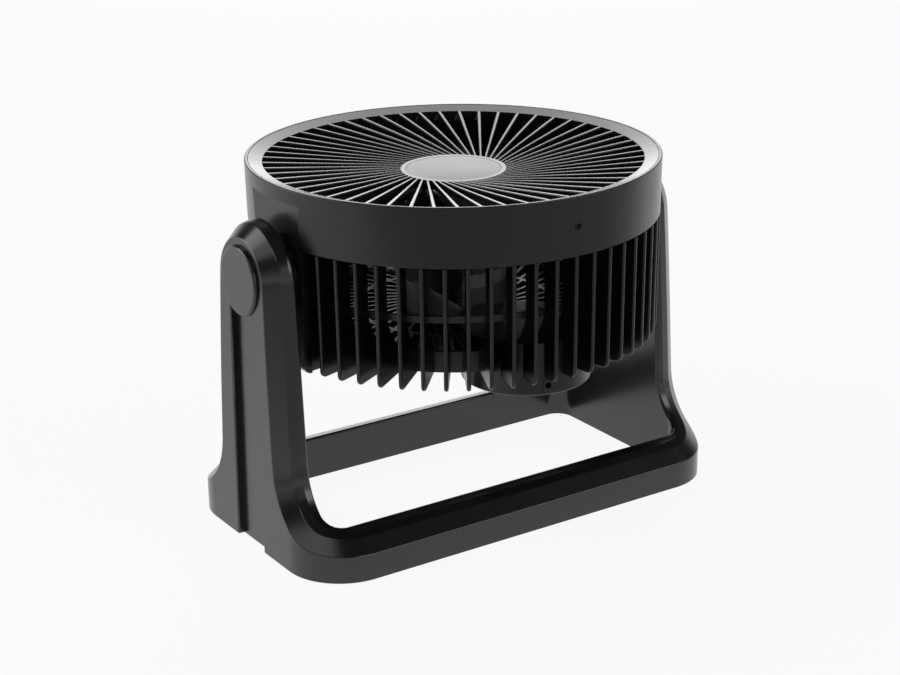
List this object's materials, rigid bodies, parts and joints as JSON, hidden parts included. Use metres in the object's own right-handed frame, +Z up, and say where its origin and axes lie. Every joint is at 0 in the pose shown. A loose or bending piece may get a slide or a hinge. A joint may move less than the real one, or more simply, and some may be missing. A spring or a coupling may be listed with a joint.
{
  "type": "air circulator fan",
  "caption": "Air circulator fan: louvred round head with a swirled, dished front grille and finned rear cage, tilting between the arms of a one-piece loop stand",
  "frame": {"origin": "on the floor, under the middle of the stand and of the drum", "axes": "+Z up along the drum's axis at rest (blowing straight up), X along the tilt axis between the arms, -Y the side of the control housing, toward which the head tilts forward"},
  "size_m": [0.3566, 0.3, 0.264],
  "materials": {
    "stand_plastic": "satin moulded black",
    "cage_plastic": "fine satin black",
    "shroud_plastic": "satin black",
    "grille_plastic": "semi-gloss black",
    "trim_plastic": "semi-gloss black",
    "impeller_plastic": "semi-gloss dark grey",
    "cap_plastic": "satin black",
    "foot_rubber": "matt",
    "gland_rubber": "matt",
    "pad_nylon": "natural nylon",
    "fastener_steel": "zinc plated",
    "screw_black": "black oxide",
    "shaft_steel": "ground",
    "bracket_metal": "die cast",
    "lamination_steel": "stacked sheet edges",
    "winding_copper": "enamelled wire",
    "bearing_bronze": "sintered bronze",
    "switch_plastic": "moulded phenolic",
    "capacitor_plastic": "potted case"
  },
  "bodies": {
    "stand": {"stand_frame": "stand_plastic", "rubber_feet": "foot_rubber", "left_pivot_cap": "cap_plastic", "right_pivot_cap": "cap_plastic", "left_friction_washer": "pad_nylon", "right_friction_washer": "pad_nylon"},
    "head": {"front_shroud": "shroud_plastic", "shroud_screws": "screw_black", "front_grille": "grille_plastic", "grille_badge": "trim_plastic", "rear_cage": "cage_plastic", "control_cover": "shroud_plastic", "cover_screws": "screw_black", "speed_switch": "switch_plastic", "run_capacitor": "capacitor_plastic", "cord_gland": "gland_rubber", "motor_rear_bracket": "bracket_metal", "motor_front_bracket": "bracket_metal", "stator_core": "lamination_steel", "stator_windings": "winding_copper", "motor_bearings": "bearing_bronze", "motor_bolts": "fastener_steel", "pivot_washers": "fastener_steel", "pivot_screws": "fastener_steel"},
    "rotor": {"rotor_core": "lamination_steel", "motor_shaft": "shaft_steel", "impeller": "impeller_plastic", "impeller_nut": "trim_plastic"},
    "knob": {"speed_knob": "trim_plastic", "switch_spindle": "shaft_steel"}
  },
  "joints": [
    {"name": "head_tilt", "type": "hinge", "parent": "stand", "child": "head", "pos_m": [0, 0, 0.199], "axis": [1, 0, 0], "range_deg": [0, 110]},
    {"name": "rotor_spin", "type": "hinge", "parent": "head", "child": "rotor", "pos_m": [0, 0, 0.199], "axis": [0, 0, 1], "continuous": true},
    {"name": "knob_turn", "type": "hinge", "parent": "head", "child": "knob", "pos_m": [0, -0.0897, 0.115], "axis": [0, 0, 1], "range_deg": [0, 135]}
  ]
}
